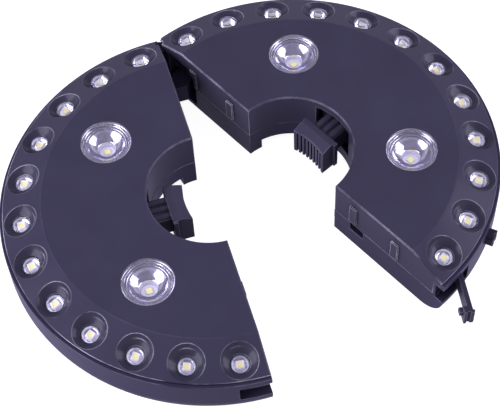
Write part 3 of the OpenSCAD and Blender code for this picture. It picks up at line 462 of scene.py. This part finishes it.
def board_lacquer(name, lacquer, track):
    material, tree, shader = start_material(name)
    place = object_place(tree)
    tracks = add(tree, "ShaderNodeTexBrick", {
        "Vector": place, "Scale": 130.0, "Mortar Size": 0.06,
        "Color1": BLACK, "Color2": BLACK, "Mortar": WHITE}).outputs
    uneven = noise_at(tree, place, 90.0, detail=3.0)
    tone = blend_colours(tree, uneven, shade_of(lacquer, 0.85), shade_of(lacquer, 1.15))
    feed(tree, shader, {
        "Base Color": blend_colours(tree, tracks["Color"], tone, track),
        "Roughness": 0.3,
        "Normal": bumped(tree, tracks["Fac"], 0.4, 0.00004)})
    return material


def cell_sleeve(name, dark, band):
    material, tree, shader = start_material(name)
    place = object_place(tree)
    along = add(tree, "ShaderNodeSeparateXYZ", {"Vector": place}).outputs["Y"]
    uneven = noise_at(tree, place, 140.0)
    tone = blend_colours(tree, uneven, shade_of(dark, 0.85), shade_of(dark, 1.2))
    on_band = ranged(tree, along, BAND_STARTS, BAND_FULL)
    feed(tree, shader, {
        "Base Color": blend_colours(tree, on_band, tone, band),
        "Roughness": 0.25,
        "Normal": bumped(tree, uneven, 0.1, 0.00003)})
    return material


board_green = board_lacquer("board_green", (0.03, 0.14, 0.07), (0.09, 0.26, 0.12))
cell_jacket = cell_sleeve("cell_jacket", (0.03, 0.032, 0.04), (0.42, 0.22, 0.07))
print("inside the halves:", board_green.name, cell_jacket.name)

# %% [markdown]
# ## Give every CAD solid its finish
#
# The solids whose shape is right stay as they are. Only the material in their slot changes, by
# the piece's name without its half. The lamps get a finish here too, though more detailed pieces
# take their place further down.

# %% Finishes of the CAD solids
FINISHES = {
    "front_cover": shell_plastic, "back_housing": housing_plastic, "battery_door": door_plastic,
    "jaw": jaw_plastic, "latch_arm": latch_plastic, "power_button": button_plastic,
    "power_switch": switch_plastic, "ring_board": board_green, "main_board": board_green,
    "battery_cells": cell_jacket, "contact_plates": contact_nickel,
    "contact_springs": spring_steel, "jaw_spring": spring_steel, "cover_screws": screw_steel,
    "hinge_pin": pin_steel, "latch_pin": pin_steel, "lamp_lenses": lens_clear,
    "small_lenses": small_lens_clear, "lamp_reflectors": bowl_plating,
    "small_reflectors": small_bowl_plating, "lamp_emitters": emitter_white,
    "small_emitters": emitter_white,
}
for name, solid in nodes.items():
    finish = FINISHES[name.removeprefix("left_").removeprefix("right_")]
    solid.data.materials.clear()
    solid.data.materials.append(finish)
print("finished solids:", len(nodes))

# %% [markdown]
# ## Turned pieces
#
# Lenses and bowls are round about an axis. Blender can spin a profile, but by hand it is as easy
# to start from a circle and go round the profile with extrude and scale, ring by ring. The
# helper does that, closes the skin at the axis or round a bore, and turns all the faces
# outwards. Profiles are written in millimetres, as pairs of a radius and a height.

# %% Helper for turned pieces
MM = 0.001
SMOOTH_BELOW = radians(35)


def deselect_all():
    """Nothing stays selected, so the next operator acts on its own piece only."""
    if bpy.context.object and bpy.context.object.mode != "OBJECT":
        bpy.ops.object.mode_set(mode="OBJECT")
    bpy.ops.object.select_all(action="DESELECT")


def turned_piece(name, rings, steps=40, bored=False):
    """A closed turned shape. Unless it is bored, it ends at the axis."""
    deselect_all()
    radius, height = (v * MM for v in rings[0])
    bpy.ops.mesh.primitive_circle_add(vertices=steps, radius=radius, location=(0, 0, height),
                                      fill_type="NOTHING")
    piece = bpy.context.object
    piece.name = name
    bpy.ops.object.transform_apply(location=True, rotation=True, scale=True)
    bpy.ops.object.mode_set(mode="EDIT")
    bpy.ops.mesh.select_all(action="SELECT")
    for next_radius, next_height in ((r * MM, h * MM) for r, h in rings[1:]):
        bpy.ops.mesh.extrude_region_move(
            TRANSFORM_OT_translate={"value": (0, 0, next_height - height)})
        grow = next_radius / radius
        bpy.ops.transform.resize(value=(grow, grow, 1), center_override=(0, 0, next_height))
        radius, height = next_radius, next_height
    if not bored:
        bpy.ops.mesh.merge(type="CENTER")
    bpy.ops.object.mode_set(mode="OBJECT")
    last = len(piece.data.vertices) - steps
    for v in piece.data.vertices:
        v.select = v.index < steps or (bored and v.index >= last)
    bpy.ops.object.mode_set(mode="EDIT")
    if bored:
        bpy.ops.mesh.bridge_edge_loops()
    else:
        bpy.ops.mesh.merge(type="CENTER")
    bpy.ops.mesh.select_all(action="SELECT")
    bpy.ops.mesh.normals_make_consistent(inside=False)
    bpy.ops.object.mode_set(mode="OBJECT")
    bpy.ops.object.shade_smooth_by_angle(angle=SMOOTH_BELOW)
    return piece


def arc_rings(ball, middle, first, last, count, below=False):
    """Rings on a ball about the axis, from one radius to another, above or below its middle."""
    rings = []
    for i in range(count + 1):
        r = first + (last - first) * i / count
        rise = sqrt(max(0.0, ball * ball - r * r))
        rings.append((r, middle - rise if below else middle + rise))
    return rings


print("faces turn smoothly below", round(SMOOTH_BELOW, 2), "radians")

# %% [markdown]
# ## Where the lamps sit
#
# The left half lies where it was drawn, mirrored, and the right half is swung open about the
# hinge. A small light stands in a cup cut by a ball, and its axis leans out with the sloping
# band. The ring that the small lights stand on follows from the cover's rim, the width of a cup
# and the tilt of the band, as it does in the CAD model. Lengths are in millimetres, apart from
# the place of the hinge.

# %% Places on the halves
HINGE = Vector((0, 0.1067, 0))
SWING = (Matrix.Translation(HINGE) @ Matrix.Rotation(radians(26.15), 4, "Z")
         @ Matrix.Translation(-HINGE))
FACE = 39.0
FACE_RADIUS = 87.5
COVER_RADIUS = 108.3
BAND_WIDTH = COVER_RADIUS - FACE_RADIUS
BAND_DROP = 7.5
BAND_TILT = atan2(BAND_DROP, BAND_WIDTH)

CUP_RADIUS = 9.3
CUP_FLOOR_RADIUS = 5.4
CUP_DEPTH = 3.2
CUP_MARGIN = 0.8
LEAN = radians(12.5)
CUP_RISE = (CUP_RADIUS**2 - CUP_FLOOR_RADIUS**2 - CUP_DEPTH**2) / (2 * CUP_DEPTH)
CUP_REACH = (CUP_RADIUS - CUP_RISE * sin(BAND_TILT - LEAN)) * cos(BAND_TILT)
SMALL_LIGHTS = 12
SMALL_RING = COVER_RADIUS - CUP_MARGIN - CUP_REACH
SMALL_HEIGHT = FACE - BAND_DROP * (SMALL_RING - FACE_RADIUS) / BAND_WIDTH
LARGE_RING = 63
LARGE_TURN = 45
print("small lights stand on a ring of", round(SMALL_RING, 2), "mm")

# %% [markdown]
# ## Copies on both halves
#
# A lamp could be placed by typing where each one goes, but one matrix takes a lamp that is
# modelled on the axis to its place. The pieces that repeat are modelled once and copied, each
# copy with its own mesh, and then joined into one piece a half. That piece rides on the body of
# its half and stands for the CAD solid.

# %% Helpers for places and copies


def on_half(side, angle):
    """Takes +X to an angle on a half."""
    if side == "left":
        return Matrix.Rotation(pi - angle, 4, "Z")
    return SWING @ Matrix.Rotation(angle, 4, "Z")


def small_places(side):
    """The places of a half's small lights, along its ring."""
    out = (Matrix.Translation((SMALL_RING * MM, 0, SMALL_HEIGHT * MM))
           @ Matrix.Rotation(LEAN, 4, "Y"))
    pitch = 180 / SMALL_LIGHTS
    return [on_half(side, radians(pitch * (i + 0.5) - 90)) @ out for i in range(SMALL_LIGHTS)]


def large_places(side):
    """The places of a half's two large lamps."""
    out = Matrix.Translation((LARGE_RING * MM, 0, 0))
    return [on_half(side, radians(LARGE_TURN * turn)) @ out for turn in (-1, 1)]


def copies(master, name, places, body, node):
    """One piece made of a copy of the master at each place."""
    twins = []
    for place in places:
        twin = master.copy()
        twin.data = master.data.copy()
        twin.data.transform(place)
        bpy.context.scene.collection.objects.link(twin)
        twins.append(twin)
    deselect_all()
    for twin in twins:
        twin.select_set(True)
    bpy.context.view_layer.objects.active = twins[0]
    bpy.ops.object.join()
    piece = bpy.context.object
    piece.name = name
    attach(piece, body)
    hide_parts(node)


print("places a half:", len(small_places("left")), "small and", len(large_places("left")), "large")

# %% [markdown]
# ## Small lenses
#
# Each small lens is a low dome on a short drum with a flange under the cover. It could be a
# sliced ball, but going round its profile gives the dome, the drum, the flange and the hollow
# under the dome in one closed skin. Heights are measured along the leaning axis, from the
# sloping band, so they are negative inside the light.

# %% Small lenses
NEAR_AXIS = 0.15
LENS_RADIUS = 4.8
LENS_RISE = 1.8
LENS_BORE = 4.4
LENS_FLANGE = 5.4
FLANGE_TOP = -4.8
BOARD_TOP = -5.8

dome_ball = (LENS_RADIUS**2 + LENS_RISE**2) / (2 * LENS_RISE)
dome = arc_rings(dome_ball, LENS_RISE - CUP_DEPTH - dome_ball, NEAR_AXIS, LENS_RADIUS - 0.12, 9)
drum = [(LENS_RADIUS, -CUP_DEPTH - 0.15), (LENS_RADIUS, FLANGE_TOP), (LENS_FLANGE, FLANGE_TOP),
        (LENS_FLANGE, BOARD_TOP), (LENS_BORE, BOARD_TOP)]
hollow = [(LENS_BORE, -3.75), (4.2, -3.62), (3.2, -3.5), (NEAR_AXIS, -3.45)]
small_lens = turned_piece("small_lens_master", dome + drum + hollow)
small_lens.data.materials.append(small_lens_clear)
print("small lens faces:", len(small_lens.data.polygons))

# %% [markdown]
# ## Small bowls
#
# Under each small lens a bright bowl sends the light forward. Its inner wall is a shallow curve,
# not a plain cone, so that it carries a soft band of light instead of a straight streak.

# %% Small bowls
BOWL_FOOT = 2.65
BOWL_FLARE = 1.35
BOWL_WALL_HEIGHT = 1.65
BOWL_WALL_STEPS = 6
BOWL_RADIUS = 4.25
BOWL_FLOOR = BOARD_TOP + 0.1
BOWL_UNDERSIDE = BOARD_TOP + 0.02

inner = []
for i in range(BOWL_WALL_STEPS + 1):
    turn = 0.5 * pi * i / BOWL_WALL_STEPS
    inner.append((BOWL_FOOT + BOWL_FLARE * sin(turn),
                  BOWL_FLOOR + BOWL_WALL_HEIGHT * (1 - cos(turn))))
outer = [(4.05, -4.0), (4.22, -4.02), (BOWL_RADIUS, -4.1), (BOWL_RADIUS, BOWL_FLOOR),
         (4.0, BOWL_UNDERSIDE), (NEAR_AXIS, BOWL_UNDERSIDE)]
floor_rings = [(NEAR_AXIS, BOARD_TOP + 0.12), (2.5, BOWL_FLOOR)]
small_bowl = turned_piece("small_bowl_master", floor_rings + inner + outer)
small_bowl.data.materials.append(small_bowl_plating)
print("small bowl faces:", len(small_bowl.data.polygons))

# %% [markdown]
# ## Emitter packages
#
# A package is a square block with a shallow square well that holds the phosphor. The block is a
# start: its top is inset, pushed down for the well and given the yellow resin, and a narrow
# bevel breaks the edges. The large package is turned, so that it lies square to its half and not
# to the spoke that its lamp stands on.

# %% Emitter packages


def emitter_package(name, side, height, border, base, resin):
    """A square emitter package with a well of phosphor, its foot at a height on the axis."""
    deselect_all()
    bpy.ops.mesh.primitive_cube_add(size=1, location=(0, 0, (base + height / 2) * MM))
    piece = bpy.context.object
    piece.name = name
    piece.scale = (side * MM, side * MM, height * MM)
    bpy.ops.object.transform_apply(location=True, rotation=True, scale=True)
    piece.data.materials.append(emitter_white)
    piece.data.materials.append(resin)
    for part in (*piece.data.edges, *piece.data.vertices):
        part.select = False
    for face in piece.data.polygons:
        face.select = face.normal.z > 0.9
    bpy.ops.object.mode_set(mode="EDIT")
    bpy.ops.mesh.inset(thickness=border * MM, depth=0)
    bpy.ops.mesh.inset(thickness=0.4 * border * MM, depth=-0.5 * border * MM)
    piece.active_material_index = 1
    bpy.ops.object.material_slot_assign()
    bpy.ops.mesh.inset(thickness=0.2 * side * MM, depth=0.18 * border * MM)
    bpy.ops.object.mode_set(mode="OBJECT")
    soft = piece.modifiers.new("soft_edges", "BEVEL")
    soft.width = 0.03 * side * MM
    soft.segments = 2
    soft.limit_method = "ANGLE"
    bpy.ops.object.modifier_apply(modifier="soft_edges")
    bpy.ops.object.shade_smooth_by_angle(angle=radians(40))
    return piece


SEAT_TOP = 28.3
small_package = emitter_package("small_package_master", side=3.4, height=1.5, border=0.42,
                                base=BOARD_TOP + 0.13, resin=emitter_yellow)
large_package = emitter_package("large_package_master", side=3.6, height=0.7, border=0.16,
                                base=SEAT_TOP, resin=large_emitter_yellow)
large_package.data.transform(Matrix.Rotation(radians(LARGE_TURN), 4, "Z"))
print("package faces:", len(small_package.data.polygons))

# %% [markdown]
# ## Fronts of the large lamps
#
# A large lamp has a flat clear front with a raised rim. It lies in a hole of the lit face, on the
# flange of the bowl, and its rim is flush with the face.

# %% Large fronts
PLATE = 36.8
FRONT_RADIUS = 13.2
INNERMOST = 0.3

front_rings = [(INNERMOST, FACE - 0.4), (10.9, FACE - 0.4), (11.3, FACE - 0.35),
               (11.42, FACE - 0.1), (11.55, FACE), (12.9, FACE), (13.1, FACE - 0.06),
               (FRONT_RADIUS, FACE - 0.25), (FRONT_RADIUS, PLATE), (INNERMOST, PLATE)]
large_front = turned_piece("large_front_master", front_rings, steps=64)
large_front.data.materials.append(lens_clear)
print("large front faces:", len(large_front.data.polygons))

# %% [markdown]
# ## Bowls of the large lamps
#
# The mouth of a large bowl steps down in rings. Below it the bowl is an open dish, part of a large
# ball, with a small steep cup at its bottom round the emitter. A lamp mirrored in the dish becomes
# a bright patch, and the flatter the dish, the further out that patch lies, so the radius of the
# ball was chosen by where the photograph shows its two patches. The steps of the mouth have a
# satin plating. The low walls between them get a dark, duller plating, which is painted shade for
# the dark lines between the rings. These are a second and a third material, given to the faces by
# their height and by the way they look.

# %% Large bowls
FLANGE_RADIUS = 14.6
FLANGE_FOOT = PLATE - 1.2
OUTER_STEP = 11.9
INNER_STEP = 10.72
DISH_TOP = PLATE - 1.4
DISH_BALL = 12.8
DISH_MOUTH = 9.9
DISH_FOOT = 5.0
BARREL_RADIUS = 12.6
LAMP_BOARD = 27.5

mouth = [(FLANGE_RADIUS, PLATE - 0.02), (12.0, PLATE - 0.02), (OUTER_STEP, PLATE - 0.12),
         (OUTER_STEP, PLATE - 0.66), (11.8, PLATE - 0.7), (10.85, PLATE - 0.7),
         (INNER_STEP, PLATE - 0.8), (INNER_STEP, PLATE - 1.34), (10.6, DISH_TOP),
         (10.0, DISH_TOP)]
dish_middle = DISH_TOP + sqrt(DISH_BALL**2 - DISH_MOUTH**2)
dish = arc_rings(DISH_BALL, dish_middle, DISH_MOUTH, DISH_FOOT, 12, below=True)
foot = [(4.86, dish[-1][1] - 0.2), (4.6, 28.6), (4.6, LAMP_BOARD), (BARREL_RADIUS, LAMP_BOARD),
        (BARREL_RADIUS, FLANGE_FOOT), (FLANGE_RADIUS, FLANGE_FOOT)]
large_bowl = turned_piece("large_bowl_master", mouth + dish + foot, steps=64, bored=True)
for plating in (bowl_plating, mouth_plating, step_wall_shade_plating):
    large_bowl.data.materials.append(plating)
# Painted shade: the steep walls of the mouth get the dark plating.
for face in large_bowl.data.polygons:
    if face.center.z > (DISH_TOP - 0.05) * MM:
        face.material_index = 1 if abs(face.normal.z) > 0.7 else 2
print("large bowl faces:", len(large_bowl.data.polygons))

# %% [markdown]
# ## Seats of the large emitters
#
# The emitter of a large lamp sits on a round pale seat with a shallow groove. It is turned as the
# bowl is, and it reaches down to the lamp's board.

# %% Large seats
SEAT_RADIUS = 4.5
SEAT_FOOT = LAMP_BOARD - 0.05

seat_rings = [(INNERMOST, SEAT_TOP), (2.9, SEAT_TOP), (3.0, SEAT_TOP - 0.18),
              (3.3, SEAT_TOP - 0.18), (3.4, SEAT_TOP), (4.2, SEAT_TOP), (4.42, SEAT_TOP - 0.08),
              (SEAT_RADIUS, SEAT_TOP - 0.3), (SEAT_RADIUS, SEAT_FOOT), (INNERMOST, SEAT_FOOT)]
large_seat = turned_piece("large_seat_master", seat_rings, steps=48)
large_seat.data.materials.append(seat_white)
print("large seat faces:", len(large_seat.data.polygons))

# %% [markdown]
# ## Set the lamps into both halves
#
# Every master is copied to its places and then deleted. The pieces ride on the body of their
# half, so they swing with it when the light is closed.

# %% Set the lamps
MASTERS = [(small_lens, "small_lens_domes", small_places, "small_lenses"),
           (small_bowl, "small_bowls", small_places, "small_reflectors"),
           (small_package, "small_packages", small_places, "small_emitters"),
           (large_front, "large_fronts", large_places, "lamp_lenses"),
           (large_bowl, "large_bowls", large_places, "lamp_reflectors"),
           (large_package, "large_packages", large_places, "lamp_emitters"),
           (large_seat, "large_seats", large_places, "lamp_emitters")]
for master, name, places, node in MASTERS:
    for side in ("left", "right"):
        copies(master, f"{side}_{name}", places(side), f"{side}_half", f"{side}_{node}")
    bpy.data.objects.remove(master)
print("lamp pieces:", 2 * len(MASTERS))

# %% [markdown]
# ## The studio
#
# The photograph was lit by two large soft boxes, left and right, on a white ground. The world is
# a pale violet white near the horizon and dark overhead, so the bright bowls have something dark
# to show as well. Rays that reach it straight from the camera, in a reflection or through a lens
# see that. The rest see an even and dimmer white, so that the surroundings can be pale without
# more light on the object.

# %% World


def rays_that_see(tree):
    """One for a ray of the camera, of a reflection or through a lens, and zero for the rest."""
    ray = add(tree, "ShaderNodeLightPath").outputs
    straight = larger(tree, ray["Is Camera Ray"], ray["Is Glossy Ray"])
    return larger(tree, straight, ray["Is Transmission Ray"])


world = bpy.data.worlds.new("studio")
bpy.context.scene.world = world
world.use_nodes = True
sky = world.node_tree
sky.nodes.clear()
toward = add(sky, "ShaderNodeTexCoord").outputs["Generated"]
overhead = ranged(sky, upright_part(sky, toward), 0.22, 0.62)
tone = blend_colours(sky, overhead, (0.90, 0.88, 1.0), (0.18, 0.17, 0.24))
seen = add(sky, "ShaderNodeBackground", {"Color": tone, "Strength": 1.0})
lighting = add(sky, "ShaderNodeBackground", {"Color": (0.96, 0.96, 1.0, 1.0),
                                             "Strength": 0.72})
by_ray = add(sky, "ShaderNodeMixShader", {0: rays_that_see(sky), 1: lighting.outputs[0],
                                          2: seen.outputs[0]})
add(sky, "ShaderNodeOutputWorld", {"Surface": by_ray.outputs[0]})
print("nodes in the world:", len(sky.nodes))

# %% [markdown]
# ## The floor
#
# The floor is grey-violet paper, so that it throws little light back on the walls of the object.
# A glow is added for the rays that see it, which makes the ground pale in the picture, and the
# shadow still falls on the paper under the glow. In a reflection the glow is dimmer and more
# violet than in the camera's own view, because the walls of the photographed light stay dark.

# %% Floor
deselect_all()
bpy.ops.mesh.primitive_plane_add(size=6, location=(0, 0, -0.0002))
floor = bpy.context.object
floor.name = "floor"
floor_finish, tree, shader = start_material("floor_paper")
fibre = noise_at(tree, object_place(tree), 60.0)
paper = blend_colours(tree, fibre, (0.33, 0.32, 0.37), (0.35, 0.34, 0.39))
feed(tree, shader, {"Base Color": paper, "Roughness": 0.9})

camera_ray = add(tree, "ShaderNodeLightPath").outputs["Is Camera Ray"]
glow_colour = blend_colours(tree, camera_ray, (0.56, 0.52, 0.74), (1.0, 1.0, 1.0))
glow = add(tree, "ShaderNodeEmission", {"Color": glow_colour, "Strength": 0.92})
dark = add(tree, "ShaderNodeEmission", {"Strength": 0.0})
by_ray = add(tree, "ShaderNodeMixShader", {0: rays_that_see(tree), 1: dark.outputs[0],
                                           2: glow.outputs[0]})
give_surface(tree, add(tree, "ShaderNodeAddShader", {0: shader.outputs[0],
                                                     1: by_ray.outputs[0]}))
floor.data.materials.append(floor_finish)
print("floor is", round(floor.dimensions.x, 1), "m wide")

# %% [markdown]
# ## Soft boxes
#
# Two area lamps stand left and right of the object, larger than it is, so that their light is
# soft and their reflections in the cups and bowls are broad. The left one is the brighter.

# %% Soft boxes
LIT_POINT = Vector((0.02, 0.0, 0.02))
BOX_DISTANCE = 0.9
BOX_HEIGHT = 0.75
BOX_COLOUR = (0.88, 0.85, 1.0)


def soft_box(name, direction, width, power):
    """A lamp in a direction from the object, turned towards it."""
    data = bpy.data.lights.new(name, "AREA")
    data.shape = "RECTANGLE"
    data.size = width
    data.size_y = BOX_HEIGHT
    data.energy = power
    data.color = BOX_COLOUR
    box = bpy.data.objects.new(name, data)
    bpy.context.scene.collection.objects.link(box)
    box.location = LIT_POINT + Vector(direction).normalized() * BOX_DISTANCE
    box.rotation_euler = (LIT_POINT - box.location).to_track_quat("-Z", "Y").to_euler()
    print(name, "stands at", [round(v, 2) for v in box.location])


soft_box("left_soft_box", (-0.90, -0.05, 0.42), width=0.75, power=10.0)
soft_box("right_soft_box", (0.88, -0.20, 0.42), width=0.65, power=7.0)
